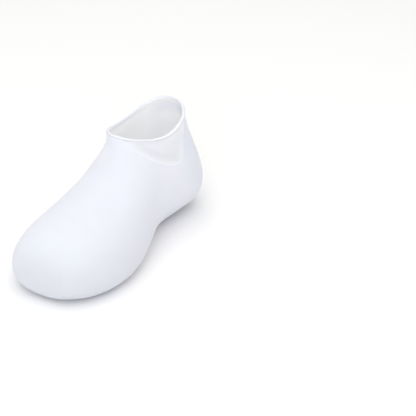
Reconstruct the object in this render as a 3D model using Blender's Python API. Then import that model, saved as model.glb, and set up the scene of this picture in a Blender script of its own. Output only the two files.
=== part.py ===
"""Overshoe for a right foot: one stretchy silicone moulding that is pulled on over a shoe.

Metres, +Z up. The toe points towards -Y, the inner side of the foot is towards +X, and the origin is at
the middle of the box on the floor. The moulding is made as a sock is: closed rings run from the toe tip
along the foot, fan round the heel and end at the mouth, where a rolled bead joins the two skins.
"""

import math
from collections import namedtuple

import bmesh
import bpy
from mathutils import Vector

# Outer form
LENGTH = 0.270
BALL_WIDTH = 0.121
HEEL_WIDTH = 0.095
MOUTH_WIDTH = 0.0627
TOE_HEIGHT = 0.072
COLLAR_HEIGHT = 0.119
COLLAR_REACH = 0.145
MOUTH_DIP = 0.0115
SOLE_PRESS = 0.005
SOLE_BLEND = 0.0012
ARCH_DEPTH = 0.0098
ARCH_FULL_BELOW = 0.12
ARCH_GONE_ABOVE = 0.5

# Walls and rim
WALL = 0.0018
SOLE_WALL = 0.0030
BEAD_DIAMETER = 0.0032

# Thin panel on each side of the ankle. Its lower edge hangs as a parabola does; its lowest point is at a
# share of the way from the front of the mouth to its back.
PANEL_WALL = 0.0011
PANEL_LENGTH = 0.092
PANEL_DROP = 0.036
PANEL_PLACE = 0.38
PANEL_EDGE = 0.006
PANEL_APART = 0.006

# Fineness of the rings
RING_POINTS = 48
RINGS_PER_STATION = 3
BEAD_STEPS = 8

COLOUR = (0.90, 0.91, 0.94, 1.0)
ROUGHNESS = 0.38

# One row for each section, from the toe tip to the mouth. A section stands on the keel, which runs under
# the sole and up the back of the heel, and its top is on the ridge, which runs over toes and instep.
#   keel_y              share of LENGTH from the toe tip
#   keel_z              share of the full height at the back of the heel
#   ridge_y             share of COLLAR_REACH from the toe tip
#   toe, neck           shares of TOE_HEIGHT and of the collar's height above it, added
#   centre              share of BALL_WIDTH that the section lies towards the inner side
#   ball, heel, mouth   shares of the three widths, added
#   widest              share of the section's height at which it is widest
#   low, high           fullness of the section below and above that: 2 is an ellipse, more is squarer
#   dip                 share of MOUTH_DIP by which the section's sides hang
#   skew                share of MOUTH_WIDTH that the section's top lies further towards the inner side
#   arch                share of ARCH_DEPTH by which the inner side is drawn in, low down
Station = namedtuple(
    "Station",
    "keel_y keel_z ridge_y toe neck centre ball heel mouth widest low high dip skew arch",
)
STATIONS = (
    Station(.000, .252, .000, .371, .000, .008, .000, .000, .000, .50, 2.3, 2.0, .00, .00, .00),
    Station(.002, .159, .006, .505, .000, .005, .291, .000, .000, .50, 2.3, 2.0, .00, .00, .00),
    Station(.016, .088, .033, .651, .000, .006, .539, .000, .000, .48, 2.4, 2.0, .00, .00, .00),
    Station(.052, .050, .099, .789, .000, .014, .713, .000, .000, .44, 2.5, 2.1, .00, .00, .00),
    Station(.112, .016, .211, .882, .000, .024, .867, .000, .000, .41, 2.6, 2.1, .00, .00, .00),
    Station(.192, .000, .359, .945, .000, .030, .963, .000, .000, .40, 2.7, 2.1, .00, .00, .00),
    Station(.288, .000, .533, 1.00, .000, .029, 1.00, .000, .000, .39, 2.7, 2.0, .00, .00, .00),
    Station(.384, .000, .698, 1.00, .118, .019, .954, .000, .000, .39, 2.6, 2.0, .00, .00, .02),
    Station(.481, .003, .832, 1.00, .291, .008, .680, .243, .000, .40, 2.5, 2.0, .00, .00, .23),
    Station(.585, .007, .914, 1.00, .477, -.002, .350, .571, .000, .40, 2.4, 2.0, .00, .00, .69),
    Station(.700, .012, .961, 1.00, .656, -.006, .120, .819, .000, .41, 2.3, 1.95, .00, .00, 1.0),
    Station(.826, .021, .984, 1.00, .787, -.002, .000, .975, .000, .41, 2.3, 1.87, .00, .00, .59),
    Station(.941, .093, .993, 1.00, .876, .009, .000, 1.00, .000, .42, 2.4, 1.80, .07, .00, .00),
    Station(.998, .289, .996, 1.00, .939, .015, .000, .985, .000, .46, 2.3, 1.75, .27, .00, .00),
    Station(.992, .543, .996, 1.00, .980, .012, .000, .740, .208, .50, 2.2, 1.78, .53, .00, .00),
    Station(.968, .791, .994, 1.00, 1.01, .001, .000, .300, .658, .52, 2.1, 1.90, .80, .03, .00),
    Station(.952, 1.00, .991, 1.00, 1.03, -.009, .000, .000, 1.00, .53, 2.2, 2.0, 1.0, .06, .00),
)


def between(a, b, c, d, t):
    """Catmull-Rom value at t from b (0) to c (1)."""
    return 0.5 * (
        2 * b + (c - a) * t + (2 * a - 5 * b + 4 * c - d) * t**2 + (3 * b - a - 3 * c + d) * t**3
    )


def stations_along():
    """The table's rows with smooth rows between them, without the tip's own."""
    first, second = STATIONS[0], STATIONS[1]
    before = Station(*(2 * a - b for a, b in zip(first, second)))
    before = before._replace(keel_y=second.keel_y, ridge_y=second.ridge_y)
    after = Station(*(2 * a - b for a, b in zip(STATIONS[-1], STATIONS[-2])))
    rows = [before, *STATIONS, after]
    smooth = []
    for i in range(1, len(rows) - 2):
        for step in range(RINGS_PER_STATION):
            t = step / RINGS_PER_STATION
            smooth.append(Station(*(between(*cell, t) for cell in zip(*rows[i - 1 : i + 3]))))
    smooth.append(STATIONS[-1])
    return smooth[1:]


def keel_and_ridge(station):
    """Lowest and highest point of a section, as (y from the toe tip, z)."""
    full_height = COLLAR_HEIGHT + SOLE_PRESS
    keel = Vector((station.keel_y * LENGTH, station.keel_z * full_height - SOLE_PRESS))
    ridge_z = station.toe * TOE_HEIGHT + station.neck * (COLLAR_HEIGHT - TOE_HEIGHT)
    return keel, Vector((station.ridge_y * COLLAR_REACH, ridge_z))


def flattened(z):
    """Height after the round underside is pressed flat on the floor, with a soft edge to the flat."""
    if z <= -SOLE_BLEND:
        return 0.0
    if z >= SOLE_BLEND:
        return z
    return (z + SOLE_BLEND) ** 2 / (4 * SOLE_BLEND)


def smoothstep(low, high, value):
    share = min(max((value - low) / (high - low), 0.0), 1.0)
    return share * share * (3 - 2 * share)


def ring(station):
    """Points round one section, from the ridge over the inner side to the keel and back."""
    keel, ridge = keel_and_ridge(station)
    up = ridge - keel
    back = Vector((up.y, -up.x)).normalized()
    half_width = (station.ball * BALL_WIDTH + station.heel * HEEL_WIDTH + station.mouth * MOUTH_WIDTH) / 2
    points = []
    for k in range(RING_POINTS):
        turn = 2 * math.pi * k / RING_POINTS
        rise, side = math.cos(turn), math.sin(turn)
        fullness = station.high if rise >= 0 else station.low
        reach = abs(rise) ** (2 / fullness)
        share = station.widest + ((1 - station.widest) * reach if rise >= 0 else -station.widest * reach)
        drawn_in = station.arch * ARCH_DEPTH * (1 - smoothstep(ARCH_FULL_BELOW, ARCH_GONE_ABOVE, share))
        width = half_width - drawn_in if side > 0 else half_width
        x = station.centre * BALL_WIDTH + math.copysign(abs(side) ** (2 / fullness), side) * width
        x += station.skew * MOUTH_WIDTH * (share - 0.5)
        yz = keel + share * up - back * (station.dip * MOUTH_DIP * side**2)
        points.append(Vector((x, yz.x, flattened(yz.y))))
    return points


def outward_normals(rings, tip):
    """Outward direction of the outer skin at the tip and at each ring point."""
    normals = []
    for i, points in enumerate(rings):
        before = rings[i - 1] if i else [tip] * RING_POINTS
        after = rings[min(i + 1, len(rings) - 1)]
        row = []
        for k in range(RING_POINTS):
            along = after[k] - before[k]
            around = points[(k + 1) % RING_POINTS] - points[k - 1]
            row.append(around.cross(along).normalized())
        normals.append(row)
    return normals


def wall_at(normal):
    """Wall thickness: the sole is thicker than the upper."""
    return WALL + (SOLE_WALL - WALL) * smoothstep(0.5, 0.95, -normal.z)


def in_panel(point):
    """1 inside a thin panel, 0 outside, with a soft step; they fade out at the front of the mouth."""
    keel, ridge = keel_and_ridge(STATIONS[-1])
    middle = ridge.x + PANEL_PLACE * (keel.x - ridge.x)
    across = (point.y - middle) / (PANEL_LENGTH / 2)
    slope = 2 * PANEL_DROP * across / (PANEL_LENGTH / 2)
    above_edge = (point.z - COLLAR_HEIGHT + PANEL_DROP * (1 - across**2)) / math.hypot(1, slope)
    return smoothstep(0, PANEL_EDGE, above_edge) * smoothstep(PANEL_APART, 2 * PANEL_APART, abs(point.x))


def bead_rings(outer_edge, inner_edge, below):
    """Rings of the rolled bead, from the outer skin over the top to the inner one."""
    radius = BEAD_DIAMETER / 2
    rings = [[] for _ in range(BEAD_STEPS - 1)]
    for outside, inside, under in zip(outer_edge, inner_edge, below):
        middle = (outside + inside) / 2
        out = (outside - inside).normalized()
        up = (middle - under).normalized()
        up = (up - out * up.dot(out)).normalized()
        half_wall = (outside - inside).length / 2
        root = math.acos(half_wall / radius)
        centre = middle + up * (radius * math.sin(root))
        for step, points in enumerate(rings, start=1):
            turn = -root + (math.pi + 2 * root) * step / BEAD_STEPS
            points.append(centre + (out * math.cos(turn) + up * math.sin(turn)) * radius)
    return rings


def build_shell():
    """The whole moulding as one closed mesh, centred on the floor."""
    stations = stations_along()
    rings = [ring(station) for station in stations]
    keel, ridge = keel_and_ridge(STATIONS[0])
    tip = Vector((STATIONS[0].centre * BALL_WIDTH, keel.x, (keel.y + ridge.y) / 2))

    normals = outward_normals(rings, tip)
    inner = [
        [point - normal * wall_at(normal) for point, normal in zip(points, row)]
        for points, row in zip(rings, normals)
    ]
    rings = [
        [point - normal * in_panel(point) * (WALL - PANEL_WALL) for point, normal in zip(points, row)]
        for points, row in zip(rings, normals)
    ]
    inner_tip = tip + Vector((0, WALL, 0))
    middles = [(a + b) / 2 for a, b in zip(rings[-2], inner[-2])]
    bead = bead_rings(rings[-1], inner[-1], middles)

    loft = [*rings, *bead, *reversed(inner)]
    points = [tip, *(point for row in loft for point in row), inner_tip]
    low = Vector(min(point[axis] for point in points) for axis in range(3))
    high = Vector(max(point[axis] for point in points) for axis in range(3))
    to_origin = Vector((-(low.x + high.x) / 2, -(low.y + high.y) / 2, -low.z))

    mesh = bmesh.new()
    loops = [[mesh.verts.new(point + to_origin) for point in row] for row in loft]
    for lower, upper in zip(loops, loops[1:]):
        for k in range(RING_POINTS):
            after = (k + 1) % RING_POINTS
            mesh.faces.new((lower[k], lower[after], upper[after], upper[k]))
    for pole, loop in ((tip, loops[0]), (inner_tip, loops[-1])):
        end = mesh.verts.new(pole + to_origin)
        for k in range(RING_POINTS):
            mesh.faces.new((end, loop[k], loop[(k + 1) % RING_POINTS]))
    bmesh.ops.recalc_face_normals(mesh, faces=mesh.faces)
    return mesh


def silicone():
    """White, softly shining silicone."""
    material = bpy.data.materials.new("white_silicone")
    material.use_nodes = True
    shader = material.node_tree.nodes["Principled BSDF"]
    shader.inputs["Base Color"].default_value = COLOUR
    shader.inputs["Roughness"].default_value = ROUGHNESS
    shader.inputs["Metallic"].default_value = 0.0
    material.diffuse_color = COLOUR
    return material


def main():
    for old in list(bpy.data.objects):
        bpy.data.objects.remove(old)
    shell = build_shell()
    data = bpy.data.meshes.new("overshoe")
    shell.to_mesh(data)
    shell.free()
    data.shade_smooth()
    data.materials.append(silicone())
    overshoe = bpy.data.objects.new("overshoe", data)
    bpy.context.scene.collection.objects.link(overshoe)


if __name__ == "__main__":
    main()
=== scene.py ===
"""Looks of the overshoe: its packed form, refined and finished in satin white silicone."""

import math

import bmesh
import bpy
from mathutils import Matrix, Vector
from mathutils.kdtree import KDTree


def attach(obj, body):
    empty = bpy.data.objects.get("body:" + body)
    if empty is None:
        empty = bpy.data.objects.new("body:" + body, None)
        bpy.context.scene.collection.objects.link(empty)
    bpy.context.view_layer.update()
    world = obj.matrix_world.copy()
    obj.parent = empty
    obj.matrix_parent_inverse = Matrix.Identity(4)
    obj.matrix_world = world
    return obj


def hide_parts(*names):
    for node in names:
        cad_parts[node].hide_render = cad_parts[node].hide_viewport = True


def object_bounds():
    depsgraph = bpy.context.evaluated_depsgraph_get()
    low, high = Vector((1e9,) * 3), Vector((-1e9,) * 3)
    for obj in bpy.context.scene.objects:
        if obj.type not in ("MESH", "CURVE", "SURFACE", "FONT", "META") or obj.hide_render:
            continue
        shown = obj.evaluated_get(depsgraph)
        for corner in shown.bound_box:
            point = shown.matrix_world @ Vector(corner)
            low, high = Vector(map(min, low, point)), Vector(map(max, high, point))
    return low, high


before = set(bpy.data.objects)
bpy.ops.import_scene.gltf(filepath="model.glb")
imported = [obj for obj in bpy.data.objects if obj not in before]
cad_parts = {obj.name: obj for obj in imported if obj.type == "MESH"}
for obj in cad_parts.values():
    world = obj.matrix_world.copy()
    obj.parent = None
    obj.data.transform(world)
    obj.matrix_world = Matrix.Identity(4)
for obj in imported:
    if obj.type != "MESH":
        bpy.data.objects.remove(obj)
cad_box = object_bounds()

# Lengths are in metres. The toe points towards -Y and the inner side of the foot is towards +X. A colour is
# the share of red, green and blue that the surface throws back.

# Camera: turned about the shoe from straight in front of the toe, in degrees, with its aim and distance.
# The focal length and the sensor's width are in millimetres.
CAMERA_TURN = 31.34
CAMERA_RISE = 29.7
CAMERA_DISTANCE = 1.272
CAMERA_AIM = Vector((0.109, 0.0045, 0.0725))
CAMERA_LENS = 109.5
CAMERA_SENSOR = 36

# Merging and refining of the moulding
WELD = 0.00001
QUAD_FOLD = math.radians(50)
QUAD_SKEW = math.radians(70)
ROOT_ANGLE = math.radians(15)
ROOT_CREASE = 0.7
FINE_LEVELS = 2

# Middle line of the hollow, from the toe back to the heel and up through the mouth. The skin is inner where
# it faces this line. INNER_TURN is the cosine over which the one skin turns into the other.
HOLLOW_LINE = [
    Vector((0.003, -0.100, 0.034)),
    Vector((0.000, -0.020, 0.042)),
    Vector((-0.001, 0.055, 0.045)),
    Vector((-0.003, 0.066, 0.170)),
]
INNER_TURN = 0.25

# How far the mouth's edge is drawn from the node's, at eight places from the inner side over the back, the
# outer side and the front. It fades out down the ankle. The inner skin takes part of it, and DRAWN_TURN is
# the cosine over which that share comes in.
MOUTH_MIDDLE = Vector((-0.001, 0.065, 0.0))
MOUTH_HALF_WIDTH = 0.031
MOUTH_HALF_LENGTH = 0.057
MOUTH_DRAWN = [
    Vector((0.0020, 0.0000, 0.0000)),
    Vector((0.0014, 0.0005, 0.0000)),
    Vector((0.0000, 0.0000, 0.0000)),
    Vector((-0.0015, 0.0000, 0.0016)),
    Vector((0.0000, 0.0000, 0.0000)),
    Vector((-0.0028, -0.0005, 0.0010)),
    Vector((-0.0015, -0.0020, 0.0000)),
    Vector((0.0000, 0.0000, 0.0008)),
]
MOUTH_FADE = 0.024
INNER_SHARE = 0.5
DRAWN_TURN = 0.5

# The edge of the thin panels at the ankle: a parabola in the side view, with its front end where the part
# has it and its back end 5 mm further back. A low welt and a painted highlight line follow it.
TOE_TIP_Y = cad_box[0][1]
PANEL_MIDDLE_Y = TOE_TIP_Y + 0.1895
PANEL_HALF_LENGTH = 0.0485
PANEL_LOW = 0.0825
PANEL_TOP = 0.119
PANEL_APART = 0.006
PANEL_FADE = (PANEL_MIDDLE_Y - 0.0475, PANEL_MIDDLE_Y - 0.0305)
PANEL_BLEND = (0.0002, 0.0016)
PANEL_LINE_HALF = 0.0013
WELT_WIDTH = 0.0016
WELT_HEIGHT = 0.0003

# The rolled bead round the mouth. Its crest is the skin above a height whose normal points up by a cosine,
# and the others are distances from that crest.
CREST_ABOVE = 0.095
CREST_FACES_UP = 0.93
BEAD_END = 0.0032
BEAD_BLEND = (BEAD_END, 0.8 * BEAD_END)
CROWN_BLEND = (0.75 * BEAD_END, 0.35 * BEAD_END)
CREASE_END = 0.0062
INNER_EDGE_END = 0.0075
FARTHEST_BELOW = 0.03

# Where the silicone's tones and its painted light and shade change: from where a change starts to where it is
# whole, along Y, up Z, across X or down from the rim
TOE_ALONG = (-0.03, -0.12)
TOE_FOOT_ALONG = (-0.06, -0.11)
TOE_FOOT_DOWN = (0.028, 0.004)
INSTEP_ALONG = (0.012, -0.015)
INSTEP_UP = (0.066, 0.085)
HEEL_ALONG = (0.03, 0.10)
HEEL_END_ALONG = (0.100, 0.120)
HEEL_TOP_BELOW = (0.028, 0.010)
LINING_ALONG = (0.06, 0.10)
BEAD_SHADE_ACROSS = (-0.020, 0.022)
BEAD_SHADE_ALONG = (0.120, 0.070)

# Tones of the outer skin: milky white with a blue cast, lighter and bluer at the toe as painted light, with
# painted shade that darkens the instep, the toe low down and the heel, and a painted highlight along the
# panels' edge
MILK_COOL = (0.786, 0.803, 0.920)
MILK_WARM = (0.814, 0.801, 0.920)
INSTEP_SHADE_TONE = (0.762, 0.772, 0.880)
TOE_LIGHT_TONE = (0.832, 0.855, 1.0)
TOE_FOOT_SHADE_TONE = (0.755, 0.775, 0.905)
HEEL_SHADE_TONE = (0.708, 0.725, 0.842)
PANEL_TONE = (0.812, 0.819, 0.886)
PANEL_EDGE_HIGHLIGHT_TONE = (0.92, 0.92, 0.955)
PANEL_SHOWS = 0.9
PANEL_EDGE_HIGHLIGHT_SHOWS = 0.45

# Tones of the inner skin, with painted shade that darkens it towards the heel and most just below the rim
# there
LINING_FRONT_TONE = (0.965, 0.975, 1.0)
LINING_BACK_SHADE_TONE = (0.895, 0.908, 0.972)
LINING_HEEL_SHADE_TONE = (0.85, 0.862, 0.925)
LINING_HEEL_TOP_SHADE_TONE = (0.625, 0.64, 0.735)

# Tones of the rim, all painted shade: a bead that is darker on the outer side of the foot and at the heel,
# over a crease and an inner edge with painted shade
CREASE_SHADE_TONE = (0.76, 0.77, 0.88)
CREASE_SHADE_SHOWS = 0.35
INNER_EDGE_SHADE_TONE = (0.82, 0.832, 0.905)
BEAD_OUTER_SHADE_TONE = (0.64, 0.646, 0.695)
BEAD_INNER_SHADE_TONE = (0.70, 0.706, 0.75)

# Clouds, streaks and grain in the silicone: the size of each, its relief, and the gloss that the streaks vary
CLOUD_SIZE = 0.045
CLOUD_BLEND = (0.35, 0.65)
CLOUD_RELIEF = 0.0006
STREAK_SIZE = 0.009
GRAIN_SIZE = 0.0006
GRAIN_RELIEF = 0.000012
PANEL_LINE_RELIEF = 0.00012
LEAST_ROUGHNESS = 0.42
STREAK_ROUGHNESS = 0.12

# How light spreads under the silicone's skin: its share, its depth, and the reach of red, green and blue
SPREAD_SHARE = 0.8
INNER_MORE_SHARE = 0.2
SPREAD_DEPTH = 0.012
INNER_MORE_DEPTH = 0.014
HEEL_END_LESS_DEPTH = 0.010
BEAD_LESS_DEPTH = 0.85
OUTER_REACH = (1.0, 0.95, 0.9)
INNER_REACH = (0.9, 0.94, 1.0)
SILICONE_IOR = 1.41
SILICONE_SPECULAR = 0.25

# The studio
FLOOR_SIZE = 8
FLOOR_TONE = (0.80, 0.80, 0.788)
FLOOR_ROUGHNESS = 0.9
FLOOR_SPECULAR = 0.1
SKY_STRENGTH = 0.636
LIGHT_AIM = Vector((0, 0, 0.05))


def alone(piece):
    """Selects one piece and makes it the active one."""
    bpy.ops.object.select_all(action="DESELECT")
    piece.select_set(True)
    bpy.context.view_layer.objects.active = piece


def smoothstep(low, high, value):
    """0 before low and 1 from high on, with a smooth change between them."""
    share = min(max((value - low) / (high - low), 0.0), 1.0)
    return share * share * (3 - 2 * share)


def above_panel_edge(point):
    """Distance of a point of the skin above the lower edge of the thin panels."""
    height = PANEL_TOP - PANEL_LOW
    across = (point.y - PANEL_MIDDLE_Y) / PANEL_HALF_LENGTH
    slope = 2 * height * across / PANEL_HALF_LENGTH
    return (point.z - PANEL_LOW - height * across**2) / math.hypot(1, slope)


def from_hollow_line(point):
    """The shortest way to a point from the middle line of the hollow."""
    ways = []
    for start, end in zip(HOLLOW_LINE, HOLLOW_LINE[1:]):
        along = end - start
        share = min(max((point - start).dot(along) / along.length_squared, 0.0), 1.0)
        ways.append(point - start - share * along)
    return min(ways, key=lambda way: way.length)


def facing_out(vertex):
    """Cosine between the skin's normal and the way out from the hollow: below 0 on the inner skin."""
    return vertex.normal.dot(from_hollow_line(vertex.co).normalized())


def crest_of_bead(mesh):
    """A tree of the points on the crest of the rolled bead: the skin that faces up, high on the ankle."""
    crest = [v.co for v in mesh.vertices if v.co.z > CREST_ABOVE and v.normal.z > CREST_FACES_UP]
    tree = KDTree(len(crest))
    for index, point in enumerate(crest):
        tree.insert(point, index)
    tree.balance()
    return tree


def drawn_at(point):
    """How far the mouth's edge is drawn in a point's direction, between the two places beside it."""
    out = point - MOUTH_MIDDLE
    turn = math.atan2(out.y / MOUTH_HALF_LENGTH, out.x / MOUTH_HALF_WIDTH)
    place = turn / math.tau * len(MOUTH_DRAWN) % len(MOUTH_DRAWN)
    before = int(place) % len(MOUTH_DRAWN)
    after = (before + 1) % len(MOUTH_DRAWN)
    return MOUTH_DRAWN[before].lerp(MOUTH_DRAWN[after], smoothstep(before, before + 1, place))


def draw_mouth(mesh):
    """Draws the edge of the mouth out in the places where the real one is rounder."""
    crest = crest_of_bead(mesh)
    places = []
    for vertex in mesh.vertices:
        inner = smoothstep(DRAWN_TURN, -DRAWN_TURN, facing_out(vertex))
        move = drawn_at(vertex.co) * (1 - (1 - INNER_SHARE) * inner)
        places.append(vertex.co + move * smoothstep(MOUTH_FADE, 0.0, crest.find(vertex.co)[2]))
    for vertex, place in zip(mesh.vertices, places):
        vertex.co = place


def refined_moulding():
    """The moulding: the node's own form with a finer surface and a clear root under the rolled bead."""
    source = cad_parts["overshoe"]
    piece = bpy.data.objects.new("moulding", source.data.copy())
    bpy.context.scene.collection.objects.link(piece)
    piece.data.materials.clear()
    alone(piece)
    bpy.ops.object.mode_set(mode="EDIT")
    bpy.ops.mesh.select_all(action="SELECT")
    bpy.ops.mesh.remove_doubles(threshold=WELD)
    bpy.ops.mesh.tris_convert_to_quads(face_threshold=QUAD_FOLD, shape_threshold=QUAD_SKEW)
    form = bmesh.from_edit_mesh(piece.data)
    for edge in form.edges:
        edge.select_set(not edge.is_convex and edge.calc_face_angle(0) > ROOT_ANGLE)
    bmesh.update_edit_mesh(piece.data)
    bpy.ops.transform.edge_crease(value=ROOT_CREASE)
    bpy.ops.object.mode_set(mode="OBJECT")
    bpy.ops.mesh.customdata_custom_splitnormals_clear()
    draw_mouth(piece.data)
    fine = piece.modifiers.new("fine", "SUBSURF")
    fine.levels = fine.render_levels = FINE_LEVELS
    bpy.ops.object.modifier_apply(modifier=fine.name)
    return piece


def mark_skin(mesh):
    """Marks the inner skin and the way down from the rim, for the material to read."""
    inner = mesh.attributes.new("inner_skin", "FLOAT", "POINT")
    below = mesh.attributes.new("below_rim", "FLOAT", "POINT")
    crest = crest_of_bead(mesh)
    for vertex in mesh.vertices:
        inner.data[vertex.index].value = smoothstep(INNER_TURN, -INNER_TURN, facing_out(vertex))
        below.data[vertex.index].value = min(crest.find(vertex.co)[2], FARTHEST_BELOW)


def raise_welt(mesh):
    """Raises a low welt on the outer skin along the panels' edge."""
    places = []
    for vertex in mesh.vertices:
        welt = math.exp(-((above_panel_edge(vertex.co) / WELT_WIDTH) ** 2)) if facing_out(vertex) > 0 else 0.0
        welt *= smoothstep(PANEL_APART, 2 * PANEL_APART, abs(vertex.co.x))
        welt *= smoothstep(*PANEL_FADE, vertex.co.y)
        places.append(vertex.co + vertex.normal * welt * WELT_HEIGHT)
    for vertex, place in zip(mesh.vertices, places):
        vertex.co = place


class SiliconeNodes:
    """The silicone's nodes: what they read from the moulding, and short calls that make and link them."""

    def __init__(self, material):
        material.use_nodes = True
        self.tree = material.node_tree
        self.shader = self.tree.nodes["Principled BSDF"]
        self.place = self.tree.nodes.new("ShaderNodeTexCoord").outputs["Object"]
        apart = self.tree.nodes.new("ShaderNodeSeparateXYZ")
        self.fill(apart.inputs[0], self.place)
        self.x, self.y, self.z = apart.outputs
        self.inner = self.attribute("inner_skin")
        self.outer = self.calc("SUBTRACT", 1.0, self.inner)
        self.below = self.attribute("below_rim")

    def fill(self, socket, value):
        """Gives a socket a number, a colour or the output of another node."""
        if isinstance(value, (int, float)):
            socket.default_value = value
        elif isinstance(value, tuple):
            socket.default_value = (*value, 1)
        else:
            self.tree.links.new(value, socket)

    def attribute(self, name):
        """The value that the moulding's points carry under a name."""
        node = self.tree.nodes.new("ShaderNodeAttribute")
        node.attribute_name = name
        return node.outputs["Fac"]

    def calc(self, operation, first, second=0.0):
        """The result of one calculation with two values."""
        node = self.tree.nodes.new("ShaderNodeMath")
        node.operation = operation
        self.fill(node.inputs[0], first)
        self.fill(node.inputs[1], second)
        return node.outputs[0]

    def product(self, first, *others):
        for other in others:
            first = self.calc("MULTIPLY", first, other)
        return first

    def between(self, value, start, whole):
        """0 before start and 1 from whole on, with a smooth change between them."""
        node = self.tree.nodes.new("ShaderNodeMapRange")
        node.interpolation_type = "SMOOTHSTEP"
        self.fill(node.inputs["Value"], value)
        self.fill(node.inputs["From Min"], start)
        self.fill(node.inputs["From Max"], whole)
        return node.outputs["Result"]

    def mixed(self, share, under, over):
        """One colour laid over another by a share."""
        node = self.tree.nodes.new("ShaderNodeMix")
        node.data_type = "RGBA"
        self.fill(node.inputs["Factor"], share)
        self.fill(node.inputs["A"], under)
        self.fill(node.inputs["B"], over)
        return node.outputs["Result"]

    def noise(self, size, detail):
        """Noise whose spots are about as large as the size."""
        node = self.tree.nodes.new("ShaderNodeTexNoise")
        self.fill(node.inputs["Vector"], self.place)
        self.fill(node.inputs["Scale"], 1 / size)
        self.fill(node.inputs["Detail"], detail)
        return node.outputs["Fac"]


def panel_and_highlighted_edge(nodes):
    """Shares of the thin panels and of the line along their edge, which carries a painted highlight and a low
    relief, on the outer skin alone.
    """
    height = PANEL_TOP - PANEL_LOW
    across = nodes.calc("DIVIDE", nodes.calc("SUBTRACT", nodes.y, PANEL_MIDDLE_Y), PANEL_HALF_LENGTH)
    slope = nodes.product(across, 2 * height / PANEL_HALF_LENGTH)
    steepness = nodes.calc("SQRT", nodes.calc("ADD", nodes.product(slope, slope), 1.0))
    above = nodes.calc("SUBTRACT", nodes.z, PANEL_LOW)
    above = nodes.calc("SUBTRACT", above, nodes.product(across, across, height))
    above = nodes.calc("DIVIDE", above, steepness)
    sides = nodes.between(nodes.calc("ABSOLUTE", nodes.x), PANEL_APART, 2 * PANEL_APART)
    on_side = nodes.product(sides, nodes.outer, nodes.between(nodes.y, *PANEL_FADE))
    panel = nodes.product(nodes.between(above, *PANEL_BLEND), on_side)
    # The line along the panels' edge carries a painted highlight and a low relief.
    line = nodes.product(nodes.between(nodes.calc("ABSOLUTE", above), PANEL_LINE_HALF, 0.0), on_side)
    return panel, line


def bead_share(nodes):
    """Share of the bead, which takes its painted shade: all of it outside, and its crown alone inside, so
    that its underside stays pale.
    """
    outside = nodes.product(nodes.between(nodes.below, *BEAD_BLEND), nodes.outer)
    crown = nodes.product(nodes.between(nodes.below, *CROWN_BLEND), nodes.inner)
    return nodes.calc("ADD", outside, crown)


def outer_tone(nodes, cloud, panel, line):
    """Tone of the outer skin, from faint clouds over its ends to the thin panels, with painted light at the
    toe, painted shade at the instep, low on the toe and at the heel, and a painted highlight along the
    panels' edge.
    """
    tone = nodes.mixed(nodes.between(cloud, *CLOUD_BLEND), MILK_COOL, MILK_WARM)
    # Painted shade darkens the outer skin high on the ankle's front.
    instep_shade = nodes.product(nodes.between(nodes.z, *INSTEP_UP), nodes.between(nodes.y, *INSTEP_ALONG))
    tone = nodes.mixed(instep_shade, tone, INSTEP_SHADE_TONE)
    # Painted light makes the toe lighter and bluer.
    tone = nodes.mixed(nodes.between(nodes.y, *TOE_ALONG), tone, TOE_LIGHT_TONE)
    # Painted shade darkens the toe low down, near the floor.
    toe_foot_shade = nodes.product(nodes.between(nodes.z, *TOE_FOOT_DOWN), nodes.between(nodes.y, *TOE_FOOT_ALONG))
    tone = nodes.mixed(toe_foot_shade, tone, TOE_FOOT_SHADE_TONE)
    # Painted shade greys the heel.
    tone = nodes.mixed(nodes.between(nodes.y, *HEEL_ALONG), tone, HEEL_SHADE_TONE)
    tone = nodes.mixed(nodes.product(panel, PANEL_SHOWS), tone, PANEL_TONE)
    # A painted highlight along the panels' edge.
    return nodes.mixed(nodes.product(line, PANEL_EDGE_HIGHLIGHT_SHOWS), tone, PANEL_EDGE_HIGHLIGHT_TONE)


def lining_with_shade(nodes, heel_end):
    """Tone of the inner skin, with painted shade that makes it darkest at the heel just below the rim."""
    # Painted shade darkens the inner skin towards the heel, most just below the rim.
    tone = nodes.mixed(nodes.between(nodes.y, *LINING_ALONG), LINING_FRONT_TONE, LINING_BACK_SHADE_TONE)
    tone = nodes.mixed(heel_end, tone, LINING_HEEL_SHADE_TONE)
    heel_top_shade = nodes.product(heel_end, nodes.between(nodes.below, *HEEL_TOP_BELOW))
    return nodes.mixed(heel_top_shade, tone, LINING_HEEL_TOP_SHADE_TONE)


def with_rim_shade(nodes, tone, bead):
    """The skin's tone with painted shade laid over it: in the crease under the bead, on the inner edge and on
    the bead.
    """
    # Painted shade in the crease under the bead.
    crease_shade = nodes.product(
        nodes.between(nodes.below, CREASE_END, BEAD_END), nodes.calc("SUBTRACT", 1.0, bead), nodes.outer
    )
    tone = nodes.mixed(nodes.product(crease_shade, CREASE_SHADE_SHOWS), tone, CREASE_SHADE_TONE)
    # Painted shade on the inner edge under the bead.
    inner_edge_shade = nodes.product(nodes.between(nodes.below, INNER_EDGE_END, BEAD_END), nodes.inner)
    tone = nodes.mixed(inner_edge_shade, tone, INNER_EDGE_SHADE_TONE)
    # Painted shade on the bead, darker on the outer side of the foot and at the heel.
    less_shaded_side = nodes.product(nodes.between(nodes.x, *BEAD_SHADE_ACROSS), nodes.between(nodes.y, *BEAD_SHADE_ALONG))
    return nodes.mixed(bead, tone, nodes.mixed(less_shaded_side, BEAD_OUTER_SHADE_TONE, BEAD_INNER_SHADE_TONE))


def spread_depth(nodes, heel_end, bead):
    """Depth to which light spreads: more inside the shoe, but less at its heel end, and least in the bead."""
    more = nodes.calc("SUBTRACT", INNER_MORE_DEPTH, nodes.product(heel_end, HEEL_END_LESS_DEPTH))
    depth = nodes.calc("ADD", nodes.product(nodes.inner, more), SPREAD_DEPTH)
    return nodes.product(depth, nodes.calc("SUBTRACT", 1.0, nodes.product(bead, BEAD_LESS_DEPTH)))


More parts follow.
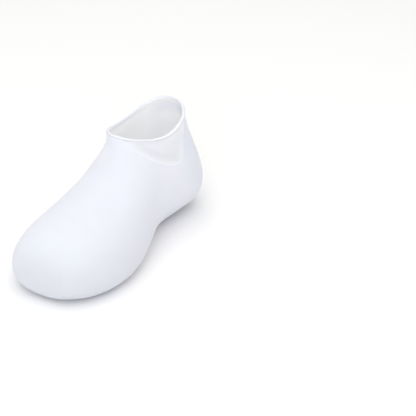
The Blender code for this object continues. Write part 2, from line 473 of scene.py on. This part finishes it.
def relief_normal(nodes, cloud, grain, line):
    """Normal of the skin with its soft waves, its fine grain and the panels' edge."""
    relief = nodes.calc("ADD", nodes.product(cloud, CLOUD_RELIEF), nodes.product(grain, GRAIN_RELIEF))
    relief = nodes.calc("ADD", relief, nodes.product(line, PANEL_LINE_RELIEF))
    bump = nodes.tree.nodes.new("ShaderNodeBump")
    nodes.fill(bump.inputs["Strength"], 1.0)
    nodes.fill(bump.inputs["Distance"], 1.0)
    nodes.fill(bump.inputs["Height"], relief)
    return bump.outputs["Normal"]


def silicone():
    """Satin white silicone: faintly cloudy and bluish, with painted shade that greys the heel, lining and rim
    and painted light at the toe, less blue in the thin panels.
    """
    material = bpy.data.materials.new("satin_white_silicone")
    nodes = SiliconeNodes(material)
    sockets = nodes.shader.inputs
    cloud = nodes.noise(CLOUD_SIZE, 2.0)
    streak = nodes.noise(STREAK_SIZE, 3.0)
    grain = nodes.noise(GRAIN_SIZE, 2.0)
    panel, line = panel_and_highlighted_edge(nodes)
    heel_end = nodes.between(nodes.y, *HEEL_END_ALONG)
    bead = bead_share(nodes)

    tone = nodes.mixed(nodes.inner, outer_tone(nodes, cloud, panel, line), lining_with_shade(nodes, heel_end))
    nodes.fill(sockets["Base Color"], with_rim_shade(nodes, tone, bead))
    roughness = nodes.calc("ADD", nodes.product(streak, STREAK_ROUGHNESS), LEAST_ROUGHNESS)
    nodes.fill(sockets["Roughness"], roughness)
    nodes.fill(sockets["Normal"], relief_normal(nodes, cloud, grain, line))

    share = nodes.calc("ADD", nodes.product(nodes.inner, INNER_MORE_SHARE), SPREAD_SHARE)
    nodes.fill(sockets["Subsurface Weight"], share)
    nodes.fill(sockets["Subsurface Radius"], nodes.mixed(nodes.inner, OUTER_REACH, INNER_REACH))
    nodes.fill(sockets["Subsurface Scale"], spread_depth(nodes, heel_end, bead))
    sockets["IOR"].default_value = SILICONE_IOR
    sockets["Specular IOR Level"].default_value = SILICONE_SPECULAR
    return material


def add_floor():
    """Adds the pale floor that the shoe stands on."""
    bpy.ops.object.select_all(action="DESELECT")
    bpy.ops.mesh.primitive_plane_add(size=FLOOR_SIZE)
    floor = bpy.context.object
    floor.name = "studio_floor"
    material = bpy.data.materials.new("pale_floor")
    material.use_nodes = True
    sockets = material.node_tree.nodes["Principled BSDF"].inputs
    sockets["Base Color"].default_value = (*FLOOR_TONE, 1)
    sockets["Roughness"].default_value = FLOOR_ROUGHNESS
    sockets["Specular IOR Level"].default_value = FLOOR_SPECULAR
    floor.data.materials.append(material)


def add_camera():
    """Adds the camera, which looks at the shoe as the photograph does."""
    turn, rise = math.radians(CAMERA_TURN), math.radians(CAMERA_RISE)
    away = Vector((math.sin(turn) * math.cos(rise), -math.cos(turn) * math.cos(rise), math.sin(rise)))
    bpy.ops.object.camera_add(
        location=CAMERA_AIM + away * CAMERA_DISTANCE, rotation=(math.pi / 2 - rise, 0, turn)
    )
    camera = bpy.context.object
    camera.data.lens = CAMERA_LENS
    camera.data.sensor_width = CAMERA_SENSOR
    bpy.context.scene.camera = camera


def add_softbox(name, place, size, power):
    """Adds a square area light that faces the shoe."""
    bpy.ops.object.light_add(type="AREA", location=place)
    light = bpy.context.object
    light.name = name
    light.data.size = size
    light.data.energy = power
    light.rotation_euler = (LIGHT_AIM - Vector(place)).to_track_quat("-Z", "Y").to_euler()


def add_sky():
    """Fills the studio with even white light."""
    world = bpy.data.worlds.new("studio")
    world.use_nodes = True
    background = world.node_tree.nodes["Background"]
    background.inputs["Color"].default_value = (1, 1, 1, 1)
    background.inputs["Strength"].default_value = SKY_STRENGTH
    bpy.context.scene.world = world


moulding = refined_moulding()
mark_skin(moulding.data)
raise_welt(moulding.data)
moulding.data.materials.append(silicone())
moulding.data.shade_smooth()
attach(moulding, "root")
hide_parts("overshoe")

add_floor()
add_camera()
add_softbox("overhead_softbox", place=(0, 0, 2.2), size=3.0, power=40.3)
add_softbox("front_softbox", place=(0.95, -1.58, 1.2), size=1.6, power=18.5)
add_sky()
bpy.context.scene.view_settings.view_transform = "Standard"
